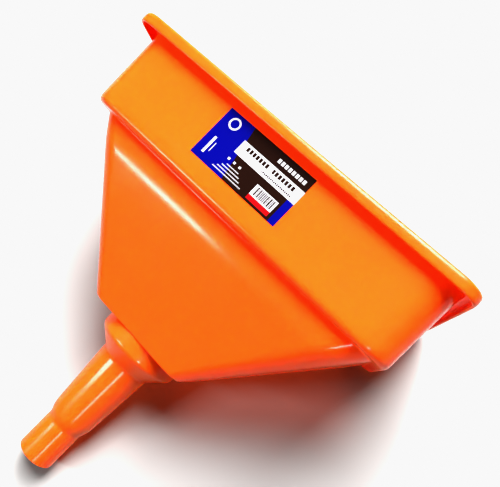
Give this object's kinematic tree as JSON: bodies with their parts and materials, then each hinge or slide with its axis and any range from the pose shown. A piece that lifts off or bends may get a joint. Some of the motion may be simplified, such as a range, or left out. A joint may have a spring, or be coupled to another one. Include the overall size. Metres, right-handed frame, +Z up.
{
  "type": "filling funnel",
  "caption": "Rectangular plastic filling funnel with a deep splash collar, stepped round spout and lift-out gauze strainer.",
  "frame": {"origin": "centre of the spout's tip, on the spout's axis", "axes": "+Z up the spout's axis towards the mouth, X along the mouth's long side, -Y out of the labelled front"},
  "size_m": [0.265, 0.165, 0.2598],
  "materials": {
    "orange_plastic": "glossy injection-moulded polyethylene",
    "label_film": "printed film",
    "filter_plastic": "black moulded plastic",
    "gauze_wire": "drawn stainless wire"
  },
  "bodies": {
    "funnel": {"funnel_body": "orange_plastic", "product_label": "label_film"},
    "strainer": {"filter_frame": "filter_plastic", "gauze_warp_wires": "gauze_wire", "gauze_weft_wires": "gauze_wire", "gauze_clamp_ring": "filter_plastic", "lifting_knob": "filter_plastic"}
  },
  "joints": [
    {"name": "strainer_lift", "type": "slide", "parent": "funnel", "child": "strainer", "axis": [0, 0, 1], "range_m": [0, 0.17]}
  ]
}
